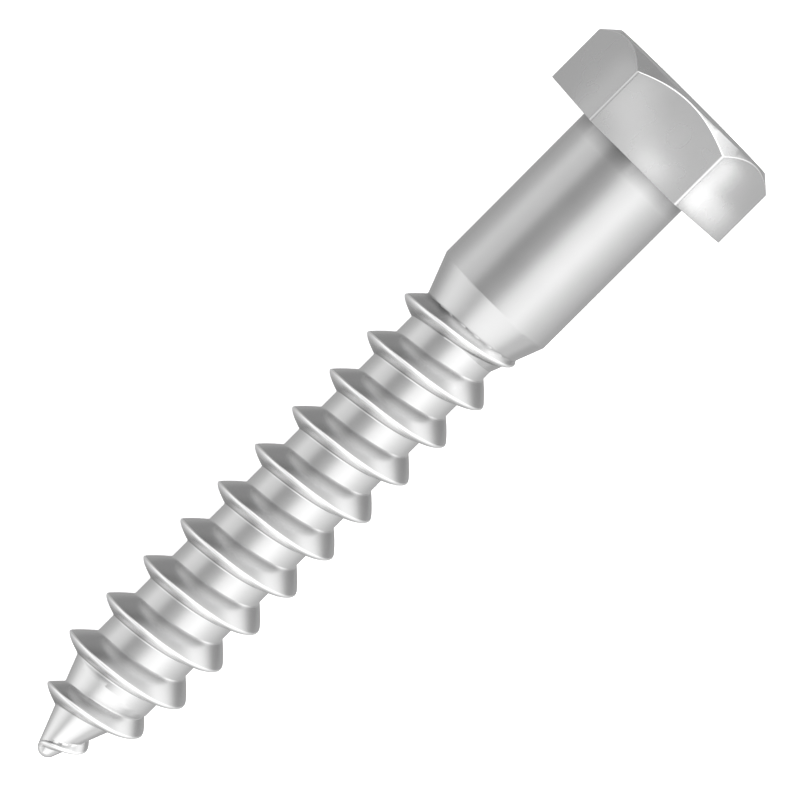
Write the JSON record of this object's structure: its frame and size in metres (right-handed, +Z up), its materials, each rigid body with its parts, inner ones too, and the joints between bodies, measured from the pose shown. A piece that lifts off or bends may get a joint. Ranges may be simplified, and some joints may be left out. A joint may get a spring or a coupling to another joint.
{
  "type": "coach screw",
  "caption": "Hexagon-head coach screw with a plain shank, a coarse right-hand wood thread and a gimlet point.",
  "frame": {"origin": "on the surface the screw lies on, under the middle of its bounding box", "axes": "+X towards the head along the screw, +Z up from the surface it lies on; the screw's own axis rises 2.8 degrees towards its head"},
  "size_m": [0.0826, 0.0208, 0.0183],
  "materials": {
    "steel": "bright satin plated steel"
  },
  "bodies": {
    "root": {"coach_screw": "steel"}
  },
  "joints": []
}
